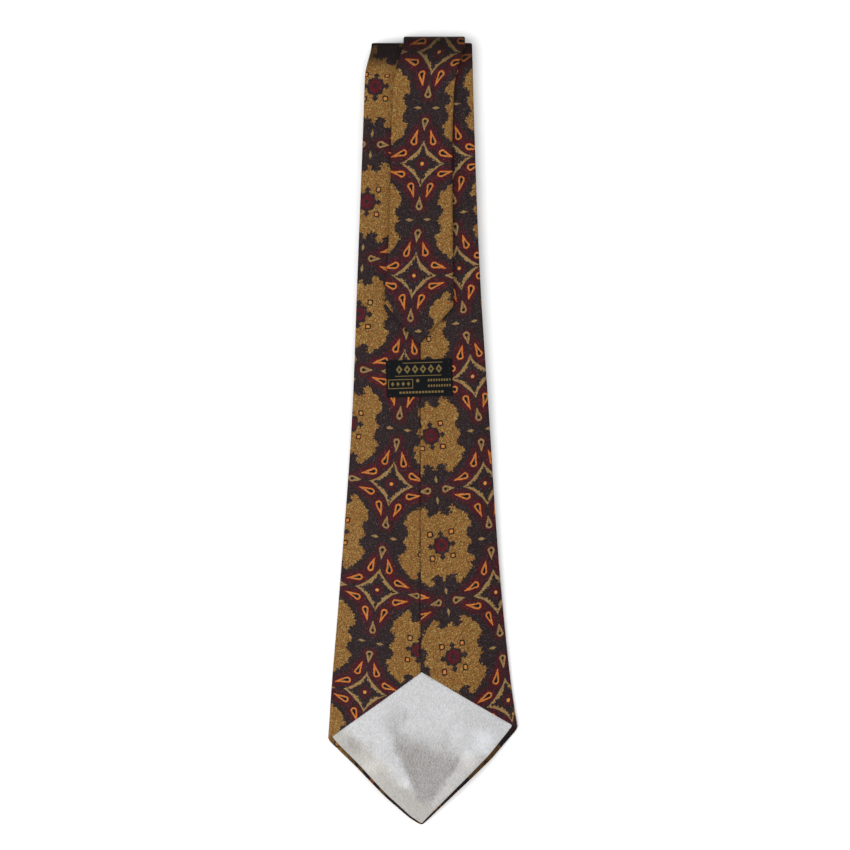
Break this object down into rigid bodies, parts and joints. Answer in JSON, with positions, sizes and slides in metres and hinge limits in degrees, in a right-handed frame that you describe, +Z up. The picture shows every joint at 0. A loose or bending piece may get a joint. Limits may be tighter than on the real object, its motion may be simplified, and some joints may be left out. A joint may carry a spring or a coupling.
{
  "type": "necktie",
  "caption": "Wide printed necktie folded for storage, back of the blade up, with its narrow tail turned over the top fold and a keeper label on the seam.",
  "frame": {"origin": "on the table under the middle of the folded tie", "axes": "+Y from the blade's point to the folded top, +Z up out of the blade's back, +X to the right seen from above"},
  "size_m": [0.1006, 0.4176, 0.0114],
  "materials": {
    "printed_silk": "satin twill printed with a gold, maroon and charcoal foulard",
    "satin_tipping": "silver-white satin",
    "wool_interlining": "brushed matte",
    "woven_label": "black satin weave with gold threads",
    "sewing_thread": "matte"
  },
  "bodies": {
    "packet": {"blade_panel": "printed_silk", "blade_panel_bend": "printed_silk", "neck_panel": "printed_silk", "tail_panel_under": "printed_silk", "tail_panel_fold": "printed_silk", "interlining": "wool_interlining", "interlining_bend": "wool_interlining", "interlining_fold": "wool_interlining", "seam_thread_front": "sewing_thread", "seam_thread_rear": "sewing_thread", "slip_stitches": "sewing_thread", "keeper_label": "woven_label", "label_stitches": "sewing_thread"},
    "blade_end": {"blade_panel_end": "printed_silk", "blade_tipping": "satin_tipping", "blade_tipping_seam": "sewing_thread", "interlining_blade_end": "wool_interlining", "slip_stitches_blade": "sewing_thread"},
    "tail": {"tail_panel_end": "printed_silk", "tail_tipping": "satin_tipping", "tail_tipping_seam": "sewing_thread", "interlining_tail_end": "wool_interlining", "slip_stitches_tail": "sewing_thread"}
  },
  "joints": [
    {"name": "tail_fold", "type": "hinge", "parent": "packet", "child": "tail", "pos_m": [0.007, 0.2031, 0.0057], "axis": [-1, 0, 0], "range_deg": [0, 178], "deforming": ["tail_panel_fold", "interlining_fold"]},
    {"name": "blade_turn", "type": "hinge", "parent": "packet", "child": "blade_end", "pos_m": [0, -0.02, 0.0102], "axis": [-1, 0, 0], "range_deg": [0, 178], "deforming": ["blade_panel_bend", "interlining_bend"]}
  ]
}
